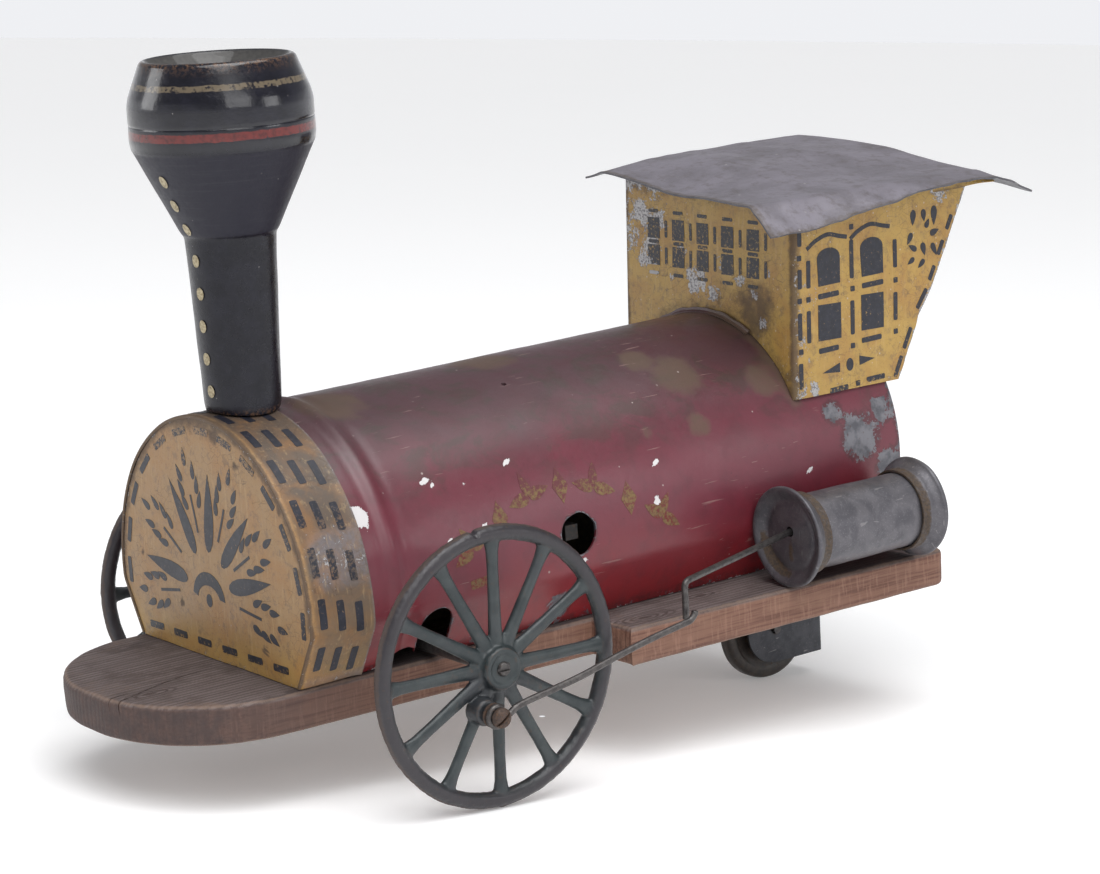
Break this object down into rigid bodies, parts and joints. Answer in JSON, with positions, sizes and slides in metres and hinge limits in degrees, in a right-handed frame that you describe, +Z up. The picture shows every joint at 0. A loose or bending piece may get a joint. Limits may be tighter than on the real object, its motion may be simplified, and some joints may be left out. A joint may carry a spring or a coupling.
{
  "type": "toy train locomotive",
  "caption": "Antique clockwork toy locomotive: arched boiler, cup-topped smokestack, open-backed cab, spoked drive wheels with side rods, and a clockwork movement inside.",
  "frame": {"origin": "centre of the bounding box's base, on the floor under the middle of the board", "axes": "+Z up; the locomotive faces -Y; +X is its left side, the side the picture shows"},
  "size_m": [0.1972, 0.3558, 0.2325],
  "materials": {
    "weathered_board": "worn, dry",
    "boiler_red": "satin, worn",
    "ochre_paint": "satin, worn",
    "black_turned_wood": "gloss paint",
    "roof_grey": "dull",
    "green_black_casting": "dull",
    "bare_tin": "tarnished",
    "dark_steel_wire": "oxidised",
    "rusty_screw": "rusted",
    "clock_brass": "aged",
    "blued_spring": "blued",
    "rear_wheel_black": "painted"
  },
  "bodies": {
    "locomotive": {"base_board": "weathered_board", "boiler_shell": "boiler_red", "smokebox_band": "ochre_paint", "smokebox_face": "ochre_paint", "smokestack": "black_turned_wood", "smokestack_screw": "rusty_screw", "cab_body": "ochre_paint", "cab_roof": "roof_grey", "cylinder_barrel_left": "bare_tin", "cylinder_barrel_right": "bare_tin", "cylinder_front_cap_left": "bare_tin", "cylinder_front_cap_right": "bare_tin", "cylinder_rear_cap_left": "bare_tin", "cylinder_rear_cap_right": "bare_tin", "rear_bracket": "bare_tin", "rear_axle": "dark_steel_wire", "bracket_nail_front": "rusty_screw", "bracket_nail_rear": "rusty_screw", "movement_plate_left": "clock_brass", "movement_plate_right": "clock_brass", "movement_pillar_1": "dark_steel_wire", "movement_pillar_2": "dark_steel_wire", "movement_pillar_3": "dark_steel_wire", "movement_pillar_4": "dark_steel_wire", "plate_tack_front_left": "rusty_screw", "plate_tack_front_right": "rusty_screw", "plate_tack_rear_left": "rusty_screw", "plate_tack_rear_right": "rusty_screw", "mainspring": "blued_spring"},
    "drive_axle_set": {"drive_axle": "dark_steel_wire", "axle_pinion": "clock_brass", "drive_wheel_left": "green_black_casting", "drive_wheel_right": "green_black_casting", "crank_screw_left": "rusty_screw", "crank_screw_right": "rusty_screw", "crank_washer_left": "rusty_screw", "crank_washer_right": "rusty_screw"},
    "connecting_rod_left": {"connecting_rod_left": "dark_steel_wire"},
    "connecting_rod_right": {"connecting_rod_right": "dark_steel_wire"},
    "piston_rod_left": {"piston_rod_left": "dark_steel_wire"},
    "piston_rod_right": {"piston_rod_right": "dark_steel_wire"},
    "rear_wheel": {"rear_wheel": "rear_wheel_black"},
    "intermediate_gear_set": {"intermediate_arbor": "dark_steel_wire", "intermediate_wheel": "clock_brass", "intermediate_pinion": "clock_brass"},
    "great_wheel_set": {"great_wheel": "clock_brass", "click": "dark_steel_wire", "click_rivet": "rusty_screw", "click_spring": "blued_spring"},
    "winding_set": {"winding_arbor": "dark_steel_wire", "ratchet_wheel": "dark_steel_wire"}
  },
  "joints": [
    {"name": "drive_axle_spin", "type": "hinge", "parent": "locomotive", "child": "drive_axle_set", "pos_m": [0, -0.081, 0.045], "axis": [1, 0, 0], "continuous": true},
    {"name": "rear_wheel_spin", "type": "hinge", "parent": "locomotive", "child": "rear_wheel", "pos_m": [0, 0.10056, 0.01898], "axis": [1, 0, 0], "continuous": true},
    {"name": "intermediate_spin", "type": "hinge", "parent": "locomotive", "child": "intermediate_gear_set", "pos_m": [0, -0.05978, 0.06621], "axis": [1, 0, 0], "continuous": true},
    {"name": "great_wheel_spin", "type": "hinge", "parent": "locomotive", "child": "great_wheel_set", "pos_m": [0, -0.02622, 0.07583], "axis": [1, 0, 0], "continuous": true},
    {"name": "winding_turn", "type": "hinge", "parent": "great_wheel_set", "child": "winding_set", "pos_m": [0, -0.02622, 0.07583], "axis": [1, 0, 0], "range_deg": [0, 1800]},
    {"name": "rod_crank_left", "type": "hinge", "parent": "drive_axle_set", "child": "connecting_rod_left", "pos_m": [0.0942, -0.0876, 0.03209], "axis": [1, 0, 0], "continuous": true},
    {"name": "piston_slide_left", "type": "slide", "parent": "locomotive", "child": "piston_rod_left", "axis": [-0.2944, 0.9502, 0.1021], "range_m": [-0.0069, 0.0221]},
    {"name": "rod_crank_right", "type": "hinge", "parent": "drive_axle_set", "child": "connecting_rod_right", "pos_m": [-0.0942, -0.0876, 0.03209], "axis": [1, 0, 0], "continuous": true},
    {"name": "piston_slide_right", "type": "slide", "parent": "locomotive", "child": "piston_rod_right", "axis": [0.2944, 0.9502, 0.1021], "range_m": [-0.0069, 0.0221]}
  ],
  "couplings": [
    {"joint": "intermediate_spin", "follows": "drive_axle_spin", "ratio": -0.36364},
    {"joint": "great_wheel_spin", "follows": "drive_axle_spin", "ratio": 0.075235},
    {"joint": "rod_crank_left", "follows": "drive_axle_spin", "ratio": -1},
    {"joint": "rod_crank_right", "follows": "drive_axle_spin", "ratio": -1}
  ]
}
